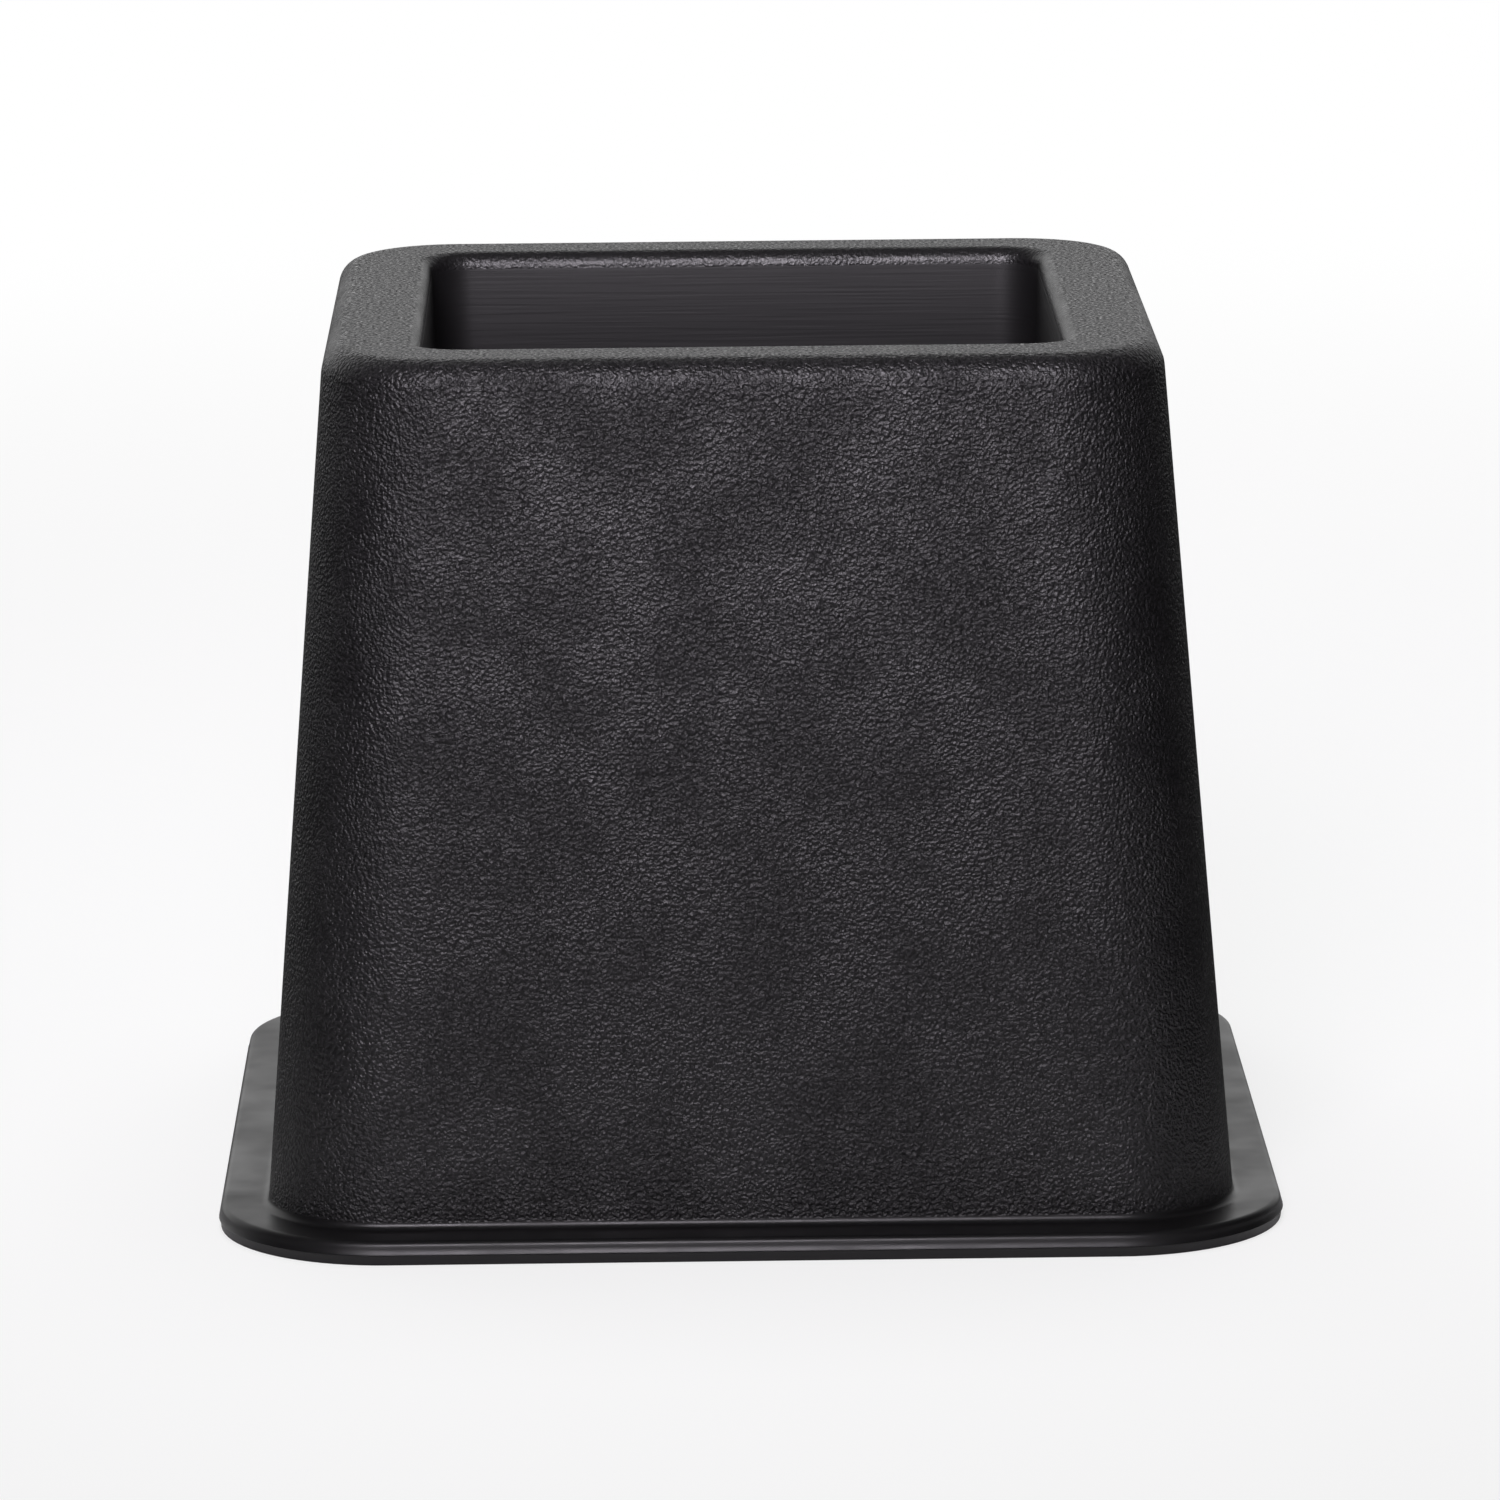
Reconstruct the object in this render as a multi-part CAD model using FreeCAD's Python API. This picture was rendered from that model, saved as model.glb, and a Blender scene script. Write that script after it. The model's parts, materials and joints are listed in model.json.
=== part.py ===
import FreeCAD, Part
import math
import os

from FreeCAD import Vector

# Driving dimensions, in millimetres, with drafts in degrees

# Leg recess in the top
recess_width = 96.0  # across the mouth, wall to wall
recess_depth = 38.0  # rim down to the floor that carries the leg
recess_draft = 1.5
recess_corner_radius = 6.5
recess_floor_radius = 2.5
recess_wall = 3.0
recess_floor = 4.0

# Rim round the recess
rim_width = 14.4  # recess wall to outside face, before the edges are rounded
rim_thickness = 3.0
rim_outer_radius = 4.2
rim_inner_radius = 2.4

# Tapered body
height = 132.0  # floor to rim
body_draft = 4.5
body_corner_radius = 18.0
body_wall = 3.0

# Flange round the foot
flange_overhang = 7.5
flange_thickness = 3.6
flange_parting_level = 1.6  # up the edge, where the two halves of the mould meet
flange_foot_draft = 8.0  # of the edge below the parting line
flange_edge_radius = 0.9
flange_root_radius = 1.1

# Ribs that carry the recess floor
rib_spacing = 40.0
rib_depth = 7.0  # below the recess floor; a riser nested from below stops here
rib_tip_thickness = 2.0
rib_draft = 0.5

# How far a cut runs past the face that it opens
overrun = 2.0

# Two lengths closer than this are the same
same_length = 0.001

# Levels and half widths that follow from the driving dimensions
recess_floor_level = height - recess_depth
recess_under_level = recess_floor_level - recess_floor
rib_tip_level = recess_under_level - rib_depth
channel_level = height - rim_thickness
up = Vector(0, 0, 1)


def slope(draft):
    return math.tan(math.radians(draft))


def recess_half(z):
    return recess_width / 2 + slope(recess_draft) * (z - height)


def body_half(z):
    return recess_width / 2 + rim_width + slope(body_draft) * (height - z)


# Square block that tapers from one level to another, with its upright edges rounded
def tapered_block(half_at, corner_radius, low, high):
    foot = half_at(low)
    top = half_at(high)
    lying = Part.makeWedge(-foot, low, -foot, -top, -top, foot, high, foot, top, top)
    block = lying.rotated(Vector(), Vector(1, 0, 0), 90.0)
    uprights = [edge for edge in block.Edges if edge.BoundBox.ZLength > same_length]
    return block.makeFillet(corner_radius, uprights)


# Edges that run round a square of this half width at height z
def edges_round(shape, half_width, z):
    def on_square(point):
        reach = max(abs(point.x), abs(point.y))
        return abs(point.z - z) < same_length and abs(reach - half_width) < same_length

    return [edge for edge in shape.Edges if all(on_square(vertex.Point) for vertex in edge.Vertexes)]


# Plate with a rounded top edge, which leans in below the parting line
def flange():
    half_width = body_half(flange_thickness) + flange_overhang
    corner_radius = body_corner_radius + flange_overhang
    plate = tapered_block(lambda z: half_width, corner_radius, 0, flange_thickness)
    lean = slope(flange_foot_draft) * flange_parting_level
    plate = plate.makeChamfer(flange_parting_level, lean, edges_round(plate, half_width, 0))
    return plate.makeFillet(flange_edge_radius, edges_round(plate, half_width, flange_thickness))


# Body and flange as seen from outside, with nothing hollowed out
def outside():
    body = tapered_block(body_half, body_corner_radius, 0, height)
    body = body.makeFillet(rim_outer_radius, edges_round(body, body_half(height), height))
    whole = body.fuse(flange()).removeSplitter()
    root = edges_round(whole, body_half(flange_thickness), flange_thickness)
    return whole.makeFillet(flange_root_radius, root)


def leg_recess():
    block = tapered_block(recess_half, recess_corner_radius, recess_floor_level, height + overrun)
    floor_edges = edges_round(block, recess_half(recess_floor_level), recess_floor_level)
    return block.makeFillet(recess_floor_radius, floor_edges)


# Box that holds the recess, walls and floor together
def recess_box():
    def outer_half(z):
        return recess_half(z) + recess_wall

    block = tapered_block(outer_half, recess_corner_radius + recess_wall, recess_under_level, height)
    under_edges = edges_round(block, outer_half(recess_under_level), recess_under_level)
    return block.makeFillet(recess_floor_radius + recess_wall, under_edges)


# Two ribs each way, thinner towards the tip
def ribs():
    tip = rib_tip_thickness / 2
    root = tip + slope(rib_draft) * (height - rib_tip_level)
    reach = body_half(rib_tip_level)
    corners = [(-tip, rib_tip_level), (tip, rib_tip_level), (root, height), (-root, height)]
    points = [Vector(x, -reach, z) for x, z in corners]
    section = Part.Face(Part.makePolygon(points + points[:1]))
    rib = section.extrude(Vector(0, 2 * reach, 0))
    pair = []
    for side in (-1, 1):
        pair.append(rib.translated(Vector(side * rib_spacing / 2, 0, 0)))
    return pair + [one.rotated(Vector(), up, 90.0) for one in pair]


# Space inside the body, open at the foot, round the recess box and between the ribs
def hollow():
    def inner_half(z):
        return body_half(z) - body_wall / math.cos(math.radians(body_draft))

    space = tapered_block(inner_half, body_corner_radius - body_wall, -overrun, channel_level)
    return space.cut([recess_box()] + ribs())


def riser():
    moulding = outside().cut(hollow()).cut(leg_recess())
    mouth = edges_round(moulding, recess_half(height), height)
    return moulding.makeFillet(rim_inner_radius, mouth)


os.makedirs("parts", exist_ok=True)
riser().exportStep("parts/riser.step")
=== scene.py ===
import json
import math
import bpy
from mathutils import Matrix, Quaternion, Vector


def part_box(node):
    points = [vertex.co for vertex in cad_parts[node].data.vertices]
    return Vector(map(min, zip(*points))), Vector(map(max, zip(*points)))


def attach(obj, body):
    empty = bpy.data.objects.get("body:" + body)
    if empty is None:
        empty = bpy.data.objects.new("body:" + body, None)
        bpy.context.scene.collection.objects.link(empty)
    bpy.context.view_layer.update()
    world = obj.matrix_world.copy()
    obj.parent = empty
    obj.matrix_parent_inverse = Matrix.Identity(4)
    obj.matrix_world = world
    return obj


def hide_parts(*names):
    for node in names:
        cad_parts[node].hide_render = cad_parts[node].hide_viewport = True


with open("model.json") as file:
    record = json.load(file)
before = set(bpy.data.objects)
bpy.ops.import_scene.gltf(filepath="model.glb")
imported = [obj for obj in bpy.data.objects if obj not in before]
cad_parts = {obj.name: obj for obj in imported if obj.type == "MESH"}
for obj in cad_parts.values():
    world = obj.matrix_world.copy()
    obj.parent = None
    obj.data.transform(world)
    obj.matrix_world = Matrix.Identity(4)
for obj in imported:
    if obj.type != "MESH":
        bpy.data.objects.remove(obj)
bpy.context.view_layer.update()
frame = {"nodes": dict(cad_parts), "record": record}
mm = 0.001
print("frame: nodes", sorted(frame["nodes"]))


# a socket in a node tree: each operator adds one Math node
class Sock:
    def __init__(self, maker, socket):
        self.maker = maker
        self.socket = socket

    def out(self, name):  # another output of the same node
        return Sock(self.maker, self.socket.node.outputs[name])

    def math(self, operation, first, second):
        return self.maker.add("ShaderNodeMath", {"operation": operation}, {0: first, 1: second})

    def __add__(self, other):
        return self.math("ADD", self, other)

    def __radd__(self, other):
        return self.math("ADD", other, self)

    def __sub__(self, other):
        return self.math("SUBTRACT", self, other)

    def __rsub__(self, other):
        return self.math("SUBTRACT", other, self)

    def __mul__(self, other):
        return self.math("MULTIPLY", self, other)

    def __rmul__(self, other):
        return self.math("MULTIPLY", other, self)

    def __truediv__(self, other):
        return self.math("DIVIDE", self, other)

    def __rtruediv__(self, other):
        return self.math("DIVIDE", other, self)

    def least(self, other):
        return self.math("MINIMUM", self, other)

    def most(self, other):
        return self.math("MAXIMUM", self, other)

    def of(self, operation):  # a Math node with one value
        return self.maker.add("ShaderNodeMath", {"operation": operation}, {0: self})

    def rise(self, low, high):  # 0 below low, 1 above high, smooth between; low may be the larger
        return self.maker.add(
            "ShaderNodeMapRange",
            {"interpolation_type": "SMOOTHSTEP"},
            {"Value": self, "From Min": low, "From Max": high},
        )


# makes the nodes of one tree
class NodeMaker:
    def __init__(self, tree):
        self.tree = tree
        tree.nodes.clear()

    def add(self, kind, settings=None, sockets=None, out=0):
        node = self.tree.nodes.new(kind)
        for name, value in (settings or {}).items():
            setattr(node, name, value)
        for name, value in (sockets or {}).items():
            for one in value if isinstance(value, list) else [value]:
                if isinstance(one, Sock):
                    self.tree.links.new(one.socket, node.inputs[name])
                else:
                    node.inputs[name].default_value = one
        return Sock(self, node.outputs[out]) if len(node.outputs) else None


def geometryTree(name, inputs):  # a Geometry Nodes tree with named inputs and one mesh out
    tree = bpy.data.node_groups.new(name, "GeometryNodeTree")
    for label, kind in inputs.items():
        tree.interface.new_socket(name=label, in_out="INPUT", socket_type=kind)
    tree.interface.new_socket(name="Geometry", in_out="OUTPUT", socket_type="NodeSocketGeometry")
    maker = NodeMaker(tree)
    return maker, maker.add("NodeGroupInput")


def applyTree(name, tree, values):  # runs a tree on an empty object and keeps its plain mesh
    carrier = bpy.data.objects.new(name + "Carrier", bpy.data.meshes.new(name + "Carrier"))
    bpy.context.collection.objects.link(carrier)
    modifier = carrier.modifiers.new(name, "NODES")
    modifier.node_group = tree
    for item in tree.interface.items_tree:
        if item.in_out == "INPUT":
            modifier[item.identifier] = values[item.name]
    evaluated = carrier.evaluated_get(bpy.context.evaluated_depsgraph_get())
    mesh = bpy.data.meshes.new_from_object(evaluated)
    mesh.name = name
    carrier.modifiers.remove(modifier)
    bpy.data.objects.remove(carrier)
    return mesh


def helperObject(mesh):  # holds a mesh that a tree reads, and is removed once it has been read
    helper = bpy.data.objects.new(mesh.name, mesh)
    bpy.context.collection.objects.link(helper)
    return helper


# Moulding: millimetres, with drafts in degrees
riser = {
    "recessWidth": 96.0,
    "recessDraft": 1.5,
    "recessCorner": 6.5,
    "recessFloorRadius": 2.5,
    "recessWall": 3.0,
    "recessFloor": 4.0,
    "rimWidth": 14.4,
    "rimThickness": 3.0,
    "rimOuterRadius": 4.2,
    "rimInnerRadius": 2.4,
    "mouthStep": 0.12,  # fine ledge where the grained rim meets the smooth recess
    "ledgeRise": 3.0,  # how many times higher than wide the ledge is
    "roundingGrain": 0.4,  # share of the grain that reaches over the rounding inside the rim
    "flatDrop": 0.24,  # how far below the top the flat of the rim still has all its grain
    "bodyDraft": 4.5,
    "bodyCorner": 18.0,
    "bodyWall": 3.0,
    "flangeOverhang": 7.5,
    "flangeThickness": 3.6,
    "flangeEdgeRadius": 0.9,
    "flangeRootRadius": 1.1,
    "partingLevel": 1.6,
    "partingRidge": 0.1,  # how far the fine line of the mould stands proud
    "edgeDraft": 11.0,  # of the flange edge, above the parting line
    "footDraft": 8.0,  # below it
    "footRadius": 0.3,
    "channelRadius": 1.2,
    "ribSpacing": 40.0,
    "ribDepth": 7.0,
    "ribTip": 2.0,
    "ribDraft": 0.5,
    "ribsEachWay": 2,
    "holdingRing": 0.35,  # from a rounded edge to the ring that keeps the flat beside it flat
    "longestFlat": 12.0,  # between the rings on a flat
    "arcStep": 11.0,  # degrees
    "sideSteps": 16,
    "cornerSteps": 20,
    "cornerHold": 0.15,  # share of a side step from a rounded corner to the column beside it
    "mergeDistance": 0.001,
    "smoothAngle": 40.0,  # degrees; sharper edges stay sharp
}

lowCorner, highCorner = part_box("riser")
height = highCorner.z / mm
seatLevel = next(m for m in frame["record"]["mounts"] if m["name"] == "leg_seat")["pos_m"][2] / mm
underLevel = seatLevel - riser["recessFloor"]
channelLevel = height - riser["rimThickness"]
ribLevel = underLevel - riser["ribDepth"]
flangeTop = riser["flangeThickness"]
mouthLevel = height - riser["rimInnerRadius"] - (riser["ledgeRise"] + 1) * riser["mouthStep"]


def slope(draft):
    return math.tan(math.radians(draft))


def recessHalf(z):
    return riser["recessWidth"] / 2 + slope(riser["recessDraft"]) * (z - height)


def boxHalf(z):
    return recessHalf(z) + riser["recessWall"]


def bodyHalf(z):
    return riser["recessWidth"] / 2 + riser["rimWidth"] + slope(riser["bodyDraft"]) * (height - z)


def hollowHalf(z):
    return bodyHalf(z) - riser["bodyWall"] / math.cos(math.radians(riser["bodyDraft"]))


flangeHalf = bodyHalf(flangeTop) + riser["flangeOverhang"]


def edgeHalf(z):  # the flange edge, which leans in above and below the parting line
    above = z - riser["partingLevel"]
    lean = above * slope(riser["edgeDraft"]) if above > 0 else -above * slope(riser["footDraft"])
    return flangeHalf - riser["partingRidge"] - lean


# each stretch of wall: its half width at a height, and the corner radius that goes with it
walls = {
    "recess": (recessHalf, riser["recessCorner"]),
    "body": (bodyHalf, riser["bodyCorner"]),
    "flange": (edgeHalf, riser["bodyCorner"] + riser["flangeOverhang"]),
    "hollow": (hollowHalf, riser["bodyCorner"] - riser["bodyWall"]),
    "box": (boxHalf, riser["recessCorner"] + riser["recessWall"]),
}


# section from the middle of the recess floor, over the rim and down to the foot, then up inside:
# half width, height, edge radius and wall of each corner
def sectionCorners():
    ridge = riser["partingRidge"]
    parting = riser["partingLevel"]
    step = riser["mouthStep"]
    return [
        (0, seatLevel, 0, "recess"),
        (recessHalf(seatLevel), seatLevel, riser["recessFloorRadius"], "recess"),
        (recessHalf(mouthLevel), mouthLevel, 0, "recess"),
        (recessHalf(mouthLevel) + step, mouthLevel + riser["ledgeRise"] * step, 0, "recess"),
        (recessHalf(height) + step, height, riser["rimInnerRadius"], "recess"),
        (bodyHalf(height), height, riser["rimOuterRadius"], "body"),
        (bodyHalf(flangeTop), flangeTop, riser["flangeRootRadius"], "body"),
        (edgeHalf(flangeTop), flangeTop, riser["flangeEdgeRadius"], "flange"),
        (edgeHalf(parting), parting + ridge, 0, "flange"),
        (edgeHalf(parting) + ridge, parting, 0, "flange"),
        (edgeHalf(parting) - ridge, parting - ridge, 0, "flange"),
        (edgeHalf(0), 0, riser["footRadius"], "flange"),
        (hollowHalf(0), 0, riser["footRadius"], "hollow"),
        (hollowHalf(channelLevel), channelLevel, riser["channelRadius"], "hollow"),
        (boxHalf(channelLevel), channelLevel, riser["channelRadius"], "box"),
        (boxHalf(underLevel), underLevel, riser["recessFloorRadius"] + riser["recessWall"], "box"),
        (0, underLevel, 0, "box"),
    ]


# a corner of the section as its arc, with a holding ring on the flat at each end
def roundedCorner(before, corner, after):
    here = Vector(corner[:2])
    radius = corner[2]
    if radius == 0:
        return [here]
    back = (Vector(before[:2]) - here).normalized()
    ahead = (Vector(after[:2]) - here).normalized()
    half = back.angle(ahead) / 2
    reach = radius / math.tan(half)
    centre = here + (back + ahead).normalized() * (radius / math.sin(half))
    start = here + back * reach - centre
    turn = math.pi - 2 * half
    if start.x * (here - centre).y - start.y * (here - centre).x < 0:
        turn = -turn
    steps = max(3, math.ceil(abs(math.degrees(turn)) / riser["arcStep"]))
    points = [here + back * (reach + riser["holdingRing"])]
    for step in range(steps + 1):
        angle = turn * step / steps
        spun = Vector((start.x * math.cos(angle) - start.y * math.sin(angle),
                       start.x * math.sin(angle) + start.y * math.cos(angle)))
        points.append(centre + spun)
    return points + [here + ahead * (reach + riser["holdingRing"])]


def addFlat(points, end):  # even rings up to the next point of a long flat
    start = points[-1]
    pieces = math.ceil((end[0] - start[0]).length / riser["longestFlat"])
    for piece in range(1, pieces):
        points.append((start[0].lerp(end[0], piece / pieces), end[1]))


# shares of grained and of satin finish at a point of the section; what is left is the plain inside
def finishAt(point, wall):
    rounding = wall == "recess" and point.y > mouthLevel + riser["mouthStep"]
    onFlat = rounding and point.y > height - riser["flatDrop"]
    onBody = wall == "body" and point.y > flangeTop + riser["flangeRootRadius"]
    if onFlat or onBody:
        return 1.0, 0.0
    if rounding:
        return riser["roundingGrain"], 1.0 - riser["roundingGrain"]
    return 0.0, 1.0 if wall in ("flange", "body") else 0.0


# the section as a row of points: x is the half width, y the corner radius, z the height
def sectionMesh():
    corners = sectionCorners()
    points = [(Vector(corners[0][:2]), "recess")]
    for before, corner, after in zip(corners, corners[1:], corners[2:]):
        for point in roundedCorner(before, corner, after):
            addFlat(points, (point, corner[3]))
            points.append((point, corner[3]))
    addFlat(points, (Vector(corners[-1][:2]), "box"))
    points.append((Vector(corners[-1][:2]), "box"))
    rows = []
    for point, wall in points:
        wallHalf, wallCorner = walls[wall]
        corner = max(wallCorner + point.x - wallHalf(point.y), 0.0)
        rows.append(Vector((point.x, min(corner, point.x), point.y)) * mm)
    grain, satin = zip(*(finishAt(point, wall) for point, wall in points))
    mesh = bpy.data.meshes.new("riserSection")
    mesh.from_pydata(rows, [(i, i + 1) for i in range(len(rows) - 1)], [])
    for name, values in (("grain", grain), ("satin", satin)):
        mesh.attributes.new(name, "FLOAT", "POINT").data.foreach_set("value", values)
    return mesh


# carries the section round a square with rounded corners
def squareLoftTree():
    maker, given = geometryTree("squareLoft", {
        "Section": "NodeSocketObject",
        "Side Steps": "NodeSocketInt",
        "Corner Steps": "NodeSocketInt",
        "Corner Hold": "NodeSocketFloat",
        "Material": "NodeSocketMaterial",
    })
    sideSteps = given.out("Side Steps")
    cornerSteps = given.out("Corner Steps")
    hold = given.out("Corner Hold")
    section = maker.add("GeometryNodeObjectInfo", {}, {"Object": given.out("Section")}, "Geometry")
    rings = maker.add("GeometryNodeAttributeDomainSize", {"component": "MESH"}, {"Geometry": section})
    quarterSteps = sideSteps + cornerSteps
    columns = quarterSteps * 4 + 1
    grid = maker.add("GeometryNodeMeshGrid", {}, {"Vertices X": rings, "Vertices Y": columns})
    index = maker.add("GeometryNodeInputIndex")
    ring = ((index + 0.5) / columns).of("FLOOR")
    column = index - ring * columns

    def onSection(kind, value):
        return maker.add("GeometryNodeSampleIndex", {"data_type": kind},
                         {"Geometry": section, "Value": value, "Index": ring})

    point = onSection("FLOAT_VECTOR", maker.add("GeometryNodeInputPosition"))
    halfWidth = maker.add("ShaderNodeSeparateXYZ", {}, {"Vector": point})
    radius = halfWidth.out("Y")
    flat = halfWidth - radius
    quarter = ((column + 0.5) / quarterSteps).of("FLOOR")
    step = column - quarter * quarterSteps
    along = ((step - 1 + hold) / (sideSteps - 2 + hold * 2)).most(0).least(1)
    turn = (step - sideSteps).most(0) / cornerSteps * (math.pi / 2)
    place = maker.add("ShaderNodeCombineXYZ", {}, {
        "X": flat + radius * turn.of("COSINE"),
        "Y": flat * (along * 2 - 1) + radius * turn.of("SINE"),
        "Z": halfWidth.out("Z"),
    })
    place = maker.add("ShaderNodeVectorRotate", {"rotation_type": "Z_AXIS"},
                      {"Vector": place, "Angle": quarter * (math.pi / 2)})
    shell = maker.add("GeometryNodeSetPosition", {}, {"Geometry": grid, "Position": place})
    for name in ("grain", "satin"):
        value = maker.add("GeometryNodeInputNamedAttribute", {"data_type": "FLOAT"}, {"Name": name})
        shell = maker.add("GeometryNodeStoreNamedAttribute", {"data_type": "FLOAT", "domain": "POINT"},
                          {"Geometry": shell, "Name": name, "Value": onSection("FLOAT", value)})
    shell = maker.add("GeometryNodeMergeByDistance", {}, {
        "Geometry": shell, "Distance": riser["mergeDistance"] * mm,
    })
    shell = maker.add("GeometryNodeRealizeInstances", {}, {"Geometry": shell})
    shell = maker.add("GeometryNodeSetMaterial", {}, {"Geometry": shell, "Material": given.out("Material")})
    maker.add("NodeGroupOutput", {}, {"Geometry": shell})
    return maker.tree


# one rib: a plate across the hollow, cut away round the recess, thicker towards the rim
def ribMesh():
    inWall = riser["bodyWall"] / 2
    top = height - riser["rimThickness"] / 2
    floor = seatLevel - riser["recessFloor"] / 2
    half = [
        (hollowHalf(ribLevel) + inWall, ribLevel),
        (hollowHalf(top) + inWall, top),
        (boxHalf(top) - inWall, top),
        (boxHalf(floor) - inWall, floor),
    ]
    outline = half + [(-y, z) for y, z in reversed(half)]
    count = len(outline)
    points = []
    for side in (-1, 1):
        for y, z in outline:
            thickness = riser["ribTip"] / 2 + slope(riser["ribDraft"]) * (z - ribLevel)
            points.append(Vector((side * thickness, y, z)) * mm)
    faces = [tuple(range(count))[::-1], tuple(range(count, 2 * count))]
    for i in range(count):
        faces.append((i, (i + 1) % count, count + (i + 1) % count, count + i))
    mesh = bpy.data.meshes.new("riserRib")
    mesh.from_pydata(points, [], faces)
    return mesh


# sets the ribs out in a grid and joins them to the shell
def ribGridTree():
    maker, given = geometryTree("ribGrid", {
        "Shell": "NodeSocketObject",
        "Rib": "NodeSocketObject",
        "Ribs Each Way": "NodeSocketInt",
        "Spacing": "NodeSocketFloat",
        "Material": "NodeSocketMaterial",
    })
    shell = maker.add("GeometryNodeObjectInfo", {}, {"Object": given.out("Shell")}, "Geometry")
    rib = maker.add("GeometryNodeObjectInfo", {}, {"Object": given.out("Rib")}, "Geometry")
    count = given.out("Ribs Each Way")
    spacing = given.out("Spacing")
    row = maker.add("GeometryNodeMeshLine", {}, {
        "Count": count,
        "Start Location": maker.add("ShaderNodeCombineXYZ", {}, {"X": (1 - count) * spacing / 2}),
        "Offset": maker.add("ShaderNodeCombineXYZ", {}, {"X": spacing}),
    })
    row = maker.add("GeometryNodeInstanceOnPoints", {}, {"Points": row, "Instance": rib})
    turned = maker.add("GeometryNodeTransform", {}, {"Geometry": row, "Rotation": (0, 0, math.pi / 2)})
    row = maker.add("GeometryNodeRealizeInstances", {}, {"Geometry": row})
    turned = maker.add("GeometryNodeRealizeInstances", {}, {"Geometry": turned})
    whole = maker.add("GeometryNodeMeshBoolean", {"operation": "UNION", "solver": "EXACT"},
                      {"Mesh": [shell, row, turned]})
    whole = maker.add("GeometryNodeRealizeInstances", {}, {"Geometry": whole})
    whole = maker.add("GeometryNodeSetMaterial", {}, {"Geometry": whole, "Material": given.out("Material")})
    maker.add("NodeGroupOutput", {}, {"Geometry": whole})
    return maker.tree


# Black plastic: millimetres, colours linear
plastic = {
    "colour": (0.0052, 0.0049, 0.0053, 1.0),
    "pitShadeColour": (0.0012, 0.0011, 0.0013, 1.0),  # painted shade between the wrinkles of the grain: the pits are darker
    "topColour": (0.0135, 0.0126, 0.0138, 1.0),  # on top of them, lighter: the other end of the painted shade of the grain
    "pitShadeEdge": (0.3, 0.75),  # share of the wrinkles where the painted shade of the pits ends and the lighter tops begin
    "refraction": 1.49,
    "gloss": 0.5,
    "grainSize": 0.5,
    "grainHeight": 0.46,
    "grainDetail": 0.8,
    "grainTwist": 0.2,
    "grainRoughness": 0.5,
    "grainShine": 0.2,  # how much smoother the tops of the wrinkles are
    "patchSize": 13.0,
    "patchEdge": (0.3, 0.7),
    "patchGrain": (0.7, 1.3),  # height of the grain in the weakest and in the strongest patches
    "patchShine": 0.08,
    "waveSize": 14.0,  # slow unevenness of the faces
    "waveHeight": 0.1,
    "rimTurn": 1.5,  # how far below the top the rounding is most polished
    "rimEase": 0.2,  # how much of the grain is polished away there
    "rimRoughness": 0.46,
    "rimFlat": (1.0, 0.2),  # how far below the top the flat of the rim starts and is reached
    "rimShine": 0.9,  # how much smoother the tops of the wrinkles are worn on it
    "satinRoughness": 0.4,
    "flowSize": 9.0,  # ripples in the satin finish
    "flowHeight": 0.02,
    "flowShine": 0.25,
    "slowDetail": 2.0,  # of the patches and the ripples
    "insideRoughness": 0.57,
    "insideGloss": 0.26,  # the recess and the hollow are duller than the rest
    "toolPitch": 0.5,  # lines left by the tool
    "toolHeight": 0.045,
    "toolStretch": (0.02, 0.02, 1.0),
    "toolShine": 0.1,
}


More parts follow.
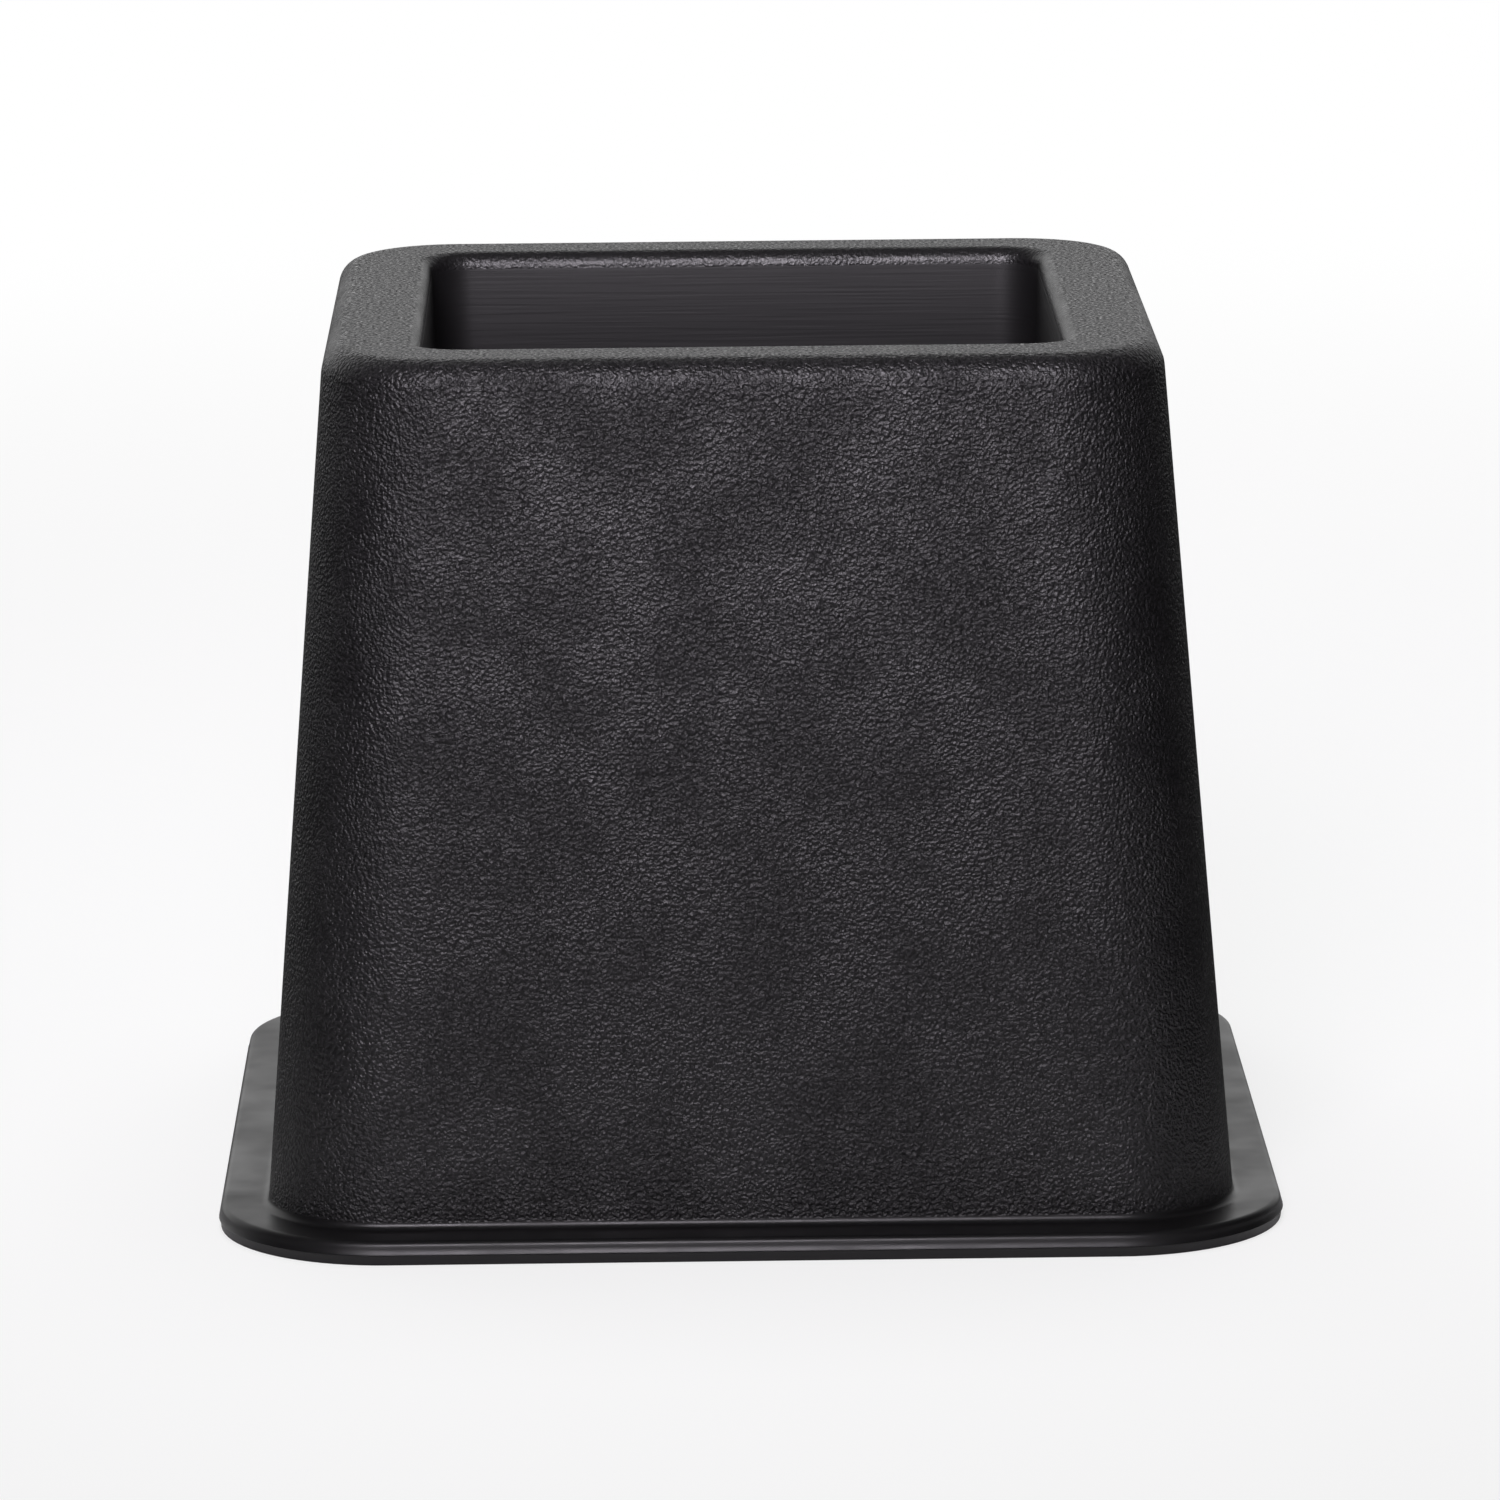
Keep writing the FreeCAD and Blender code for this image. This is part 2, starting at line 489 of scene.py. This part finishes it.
def plasticMaterial():
    material = bpy.data.materials.new("mouldedPlastic")
    material.use_nodes = True
    maker = NodeMaker(material.node_tree)
    place = maker.add("ShaderNodeTexCoord", {}, {}, "Object")

    def noise(size, detail=1.0, stretch=(1, 1, 1), twist=0.0):
        scaled = maker.add("ShaderNodeMapping", {}, {"Vector": place, "Scale": stretch})
        return maker.add("ShaderNodeTexNoise", {}, {
            "Vector": scaled, "Scale": 1 / (size * mm), "Detail": detail, "Distortion": twist,
        })

    def swing(value):  # a noise about nought
        return value - 0.5

    def between(factor, first, second):
        return factor * (second - first) + first

    grain = maker.add("ShaderNodeAttribute", {"attribute_name": "grain"}, {}, "Fac")
    satin = maker.add("ShaderNodeAttribute", {"attribute_name": "satin"}, {}, "Fac")
    inside = (1 - grain - satin).most(0)

    # moulded grain: short wrinkles, stronger in some patches than in others, even on the flat of the rim
    wrinkles = noise(plastic["grainSize"], plastic["grainDetail"], twist=plastic["grainTwist"])
    patches = noise(plastic["patchSize"], plastic["slowDetail"]).rise(*plastic["patchEdge"])
    level = maker.add("ShaderNodeSeparateXYZ", {}, {"Vector": place}).out("Z")
    flatStart, flatEnd = plastic["rimFlat"]
    onRim = level.rise((height - flatStart) * mm, (height - flatEnd) * mm)
    rounded = level.rise((height - riser["rimOuterRadius"]) * mm, (height - plastic["rimTurn"]) * mm)
    patches = patches + onRim * (0.5 - patches)
    strength = between(patches, *plastic["patchGrain"]) * (1 - rounded * plastic["rimEase"])
    waves = swing(noise(plastic["waveSize"])) * (1 - onRim)
    grainHeight = swing(wrinkles) * strength * plastic["grainHeight"] + waves * plastic["waveHeight"]
    grainRoughness = (
        between(rounded, plastic["grainRoughness"], plastic["rimRoughness"])
        - swing(wrinkles) * (plastic["grainShine"] + onRim * plastic["rimShine"])
        + swing(patches) * plastic["patchShine"]
    )

    # smooth flange: slow ripples where the plastic flowed
    flow = swing(noise(plastic["flowSize"], plastic["slowDetail"]))
    satinRoughness = plastic["satinRoughness"] + flow * plastic["flowShine"]

    # recess: faint level lines left by the tool
    lines = swing(noise(plastic["toolPitch"], stretch=plastic["toolStretch"]))
    insideRoughness = plastic["insideRoughness"] + lines * plastic["toolShine"]

    heights = (
        grain * grainHeight
        + satin * flow * plastic["flowHeight"]
        + inside * lines * plastic["toolHeight"]
    )
    normal = maker.add("ShaderNodeBump", {}, {"Height": heights, "Distance": mm})
    # painted shade of the grain: the colour is darker in the pits between the wrinkles and lighter on their
    # tops
    grainShade = maker.add("ShaderNodeMix", {"data_type": "RGBA"}, {
        "Factor": wrinkles.rise(*plastic["pitShadeEdge"]), 6: plastic["pitShadeColour"], 7: plastic["topColour"],
    }, 2)
    colour = maker.add("ShaderNodeMix", {"data_type": "RGBA"}, {
        "Factor": grain, 6: plastic["colour"], 7: grainShade,
    }, 2)
    surface = maker.add("ShaderNodeBsdfPrincipled", {}, {
        "Base Color": colour,
        "Roughness": grain * grainRoughness + satin * satinRoughness + inside * insideRoughness,
        "IOR": plastic["refraction"],
        "Specular IOR Level": between(inside, plastic["gloss"], plastic["insideGloss"]),
        "Normal": normal,
    })
    maker.add("ShaderNodeOutputMaterial", {}, {"Surface": surface})
    return material


def makeRiser():
    material = plasticMaterial()
    section = helperObject(sectionMesh())
    shellMesh = applyTree("riserShell", squareLoftTree(), {
        "Section": section,
        "Side Steps": riser["sideSteps"],
        "Corner Steps": riser["cornerSteps"],
        "Corner Hold": riser["cornerHold"],
        "Material": material,
    })
    print("shell:", len(shellMesh.polygons), "faces")
    shell = helperObject(shellMesh)
    rib = helperObject(ribMesh())
    mesh = applyTree("riserMoulding", ribGridTree(), {
        "Shell": shell,
        "Rib": rib,
        "Ribs Each Way": riser["ribsEachWay"],
        "Spacing": riser["ribSpacing"] * mm,
        "Material": material,
    })
    for helper in (section, shell, rib):
        bpy.data.objects.remove(helper)
    mesh.shade_smooth()
    mesh.set_sharp_from_angle(angle=math.radians(riser["smoothAngle"]))
    piece = bpy.data.objects.new("riserMoulding", mesh)
    bpy.context.collection.objects.link(piece)
    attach(piece, "root")
    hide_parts("riser")
    print("riser:", len(mesh.polygons), "faces")


# Stage: metres
stage = {
    "floorHalf": 6.0,
    "floorColour": (0.85, 0.85, 0.85, 1.0),
    "bounceColour": (0.05, 0.05, 0.05, 1.0),  # what the floor beside the riser throws back on to it
    "stripHalf": 0.12,  # half width of the bright strip of floor in front of the flange
    "stripDepth": 0.02,  # how far in front of the flange it stays bright
    "stripFade": 0.04,
    "whiteNear": 0.74,  # share of plain white in the floor beside the riser
    "fadeFrom": 0.35,  # where the floor starts to run into the white background
    "fadeTo": 1.0,
}


def makeFloor():
    half = stage["floorHalf"]
    mesh = bpy.data.meshes.new("studioFloor")
    corners = [(-half, -half, 0), (half, -half, 0), (half, half, 0), (-half, half, 0)]
    mesh.from_pydata(corners, [], [(0, 1, 2, 3)])
    floor = bpy.data.objects.new("studioFloor", mesh)
    bpy.context.collection.objects.link(floor)
    material = bpy.data.materials.new("studioFloor")
    material.use_nodes = True
    maker = NodeMaker(material.node_tree)
    place = maker.add("ShaderNodeTexCoord", {}, {}, "Object")
    away = maker.add("ShaderNodeVectorMath", {"operation": "LENGTH"}, {0: place}, "Value")
    seen = maker.add("ShaderNodeLightPath", {}, {}, "Is Camera Ray")
    spot = maker.add("ShaderNodeSeparateXYZ", {}, {"Vector": place})
    fadeWidth = stage["stripFade"]
    nearEnd = lowCorner.y - stage["stripDepth"]
    strip = spot.of("ABSOLUTE").rise(stage["stripHalf"] + fadeWidth, stage["stripHalf"])
    strip = strip * spot.out("Y").rise(0.0, lowCorner.y) * spot.out("Y").rise(nearEnd - fadeWidth, nearEnd)
    colour = maker.add("ShaderNodeMix", {"data_type": "RGBA"}, {
        "Factor": strip.most(seen), 6: stage["bounceColour"], 7: stage["floorColour"],
    }, 2)
    paper = maker.add("ShaderNodeBsdfDiffuse", {}, {"Color": colour})
    white = maker.add("ShaderNodeEmission", {}, {"Strength": 1.0})
    near = stage["whiteNear"]
    fade = (away.rise(stage["fadeFrom"], stage["fadeTo"]) * (1 - near) + near) * seen
    surface = maker.add("ShaderNodeMixShader", {}, {0: fade, 1: paper, 2: white})
    below = maker.add("ShaderNodeNewGeometry", {}, {}, "Backfacing")
    clear = maker.add("ShaderNodeBsdfTransparent")
    surface = maker.add("ShaderNodeMixShader", {}, {0: below * seen, 1: surface, 2: clear})
    maker.add("ShaderNodeOutputMaterial", {}, {"Surface": surface})
    mesh.materials.append(material)


# Light: a white backdrop behind, dark sides, a narrow soft box above the front and a wide one overhead;
# edges are where a light starts and is full: sines of the elevation, or y of a direction, which is 1 behind
light = {
    "backdrop": 1.33,
    "backdropEdge": (0.45, 0.85),
    "backdropTopEdge": (0.75, 0.45),
    "backdropTurn": 12.0,  # degrees, towards the left
    "ceiling": 0.12,
    "ceilingEdge": (0.55, 0.9),
    "front": 0.25,
    "frontEdge": (-0.72, -0.97),
    "frontLowEdge": (-0.05, 0.5),
    "sides": 0.02,
    "lamps": {
        "softBox": {
            "place": (-0.08, -0.6, 0.5), "aim": (0.0, 0.0, 0.27), "size": (0.22, 0.42), "spread": 50.0,
            "power": 0.87, "colour": (1.0, 0.94, 1.03), "glossy": True,
        },
        "topBox": {
            "place": (0.0, 0.25, 1.4), "aim": (0.0, 0.0, 0.07), "size": (0.9, 0.9), "spread": 180.0,
            "power": 12.0, "colour": (1.0, 1.0, 1.0), "glossy": False,
        },
    },
}


def makeLight():
    world = bpy.data.worlds.new("studio")
    bpy.context.scene.world = world
    world.use_nodes = True
    maker = NodeMaker(world.node_tree)
    direction = maker.add("ShaderNodeTexCoord", {}, {}, "Generated")
    turned = maker.add("ShaderNodeVectorRotate", {"rotation_type": "Z_AXIS"},
                       {"Vector": direction, "Angle": -math.radians(light["backdropTurn"])})
    away = maker.add("ShaderNodeSeparateXYZ", {}, {"Vector": turned}).out("Y")
    up = away.out("Z")
    behind = away.rise(*light["backdropEdge"]) * up.rise(*light["backdropTopEdge"])
    ahead = away.rise(*light["frontEdge"]) * up.rise(*light["frontLowEdge"])
    above = up.rise(*light["ceilingEdge"])
    level = light["sides"] + ahead * (light["front"] - light["sides"])
    level = level + above * (light["ceiling"] - level)
    level = level + behind * (light["backdrop"] - level)
    seen = maker.add("ShaderNodeLightPath", {}, {}, "Is Camera Ray")
    level = level + seen * (1 - level)
    sky = maker.add("ShaderNodeBackground", {}, {"Strength": level})
    maker.add("ShaderNodeOutputWorld", {}, {"Surface": sky})

    for name, box in light["lamps"].items():
        lamp = bpy.data.lights.new(name, "AREA")
        lamp.shape = "RECTANGLE"
        lamp.size, lamp.size_y = box["size"]
        lamp.spread = math.radians(box["spread"])
        lamp.energy = box["power"]
        lamp.color = box["colour"]
        holder = bpy.data.objects.new(name, lamp)
        holder.location = box["place"]
        holder.visible_camera = False
        holder.visible_glossy = box["glossy"]
        aim = Vector(box["aim"]) - holder.location
        holder.rotation_euler = aim.to_track_quat("-Z", "Y").to_euler()
        bpy.context.collection.objects.link(holder)


# Camera: metres from the middle of the foot
cameraSetting = {
    "place": (-0.0169, -1.3395, 0.3342),
    "aim": (0.0013, 0.0119, 0.0584),
    "lens": 211.5,
    "sensor": 36.0,  # millimetres, as the lens
    "roll": 0.5,  # degrees; the riser leans to the left by this much
}


def makeCamera():
    data = bpy.data.cameras.new("photoCamera")
    data.lens = cameraSetting["lens"]
    data.sensor_width = cameraSetting["sensor"]
    camera = bpy.data.objects.new("photoCamera", data)
    camera.location = cameraSetting["place"]
    look = Vector(cameraSetting["aim"]) - camera.location
    roll = Quaternion((0, 0, 1), -math.radians(cameraSetting["roll"]))
    camera.rotation_euler = (look.to_track_quat("-Z", "Y") @ roll).to_euler()
    bpy.context.collection.objects.link(camera)
    bpy.context.scene.camera = camera


makeRiser()
makeFloor()
makeLight()
makeCamera()
bpy.context.scene.view_settings.view_transform = "Standard"
print("stage, light and camera: done")
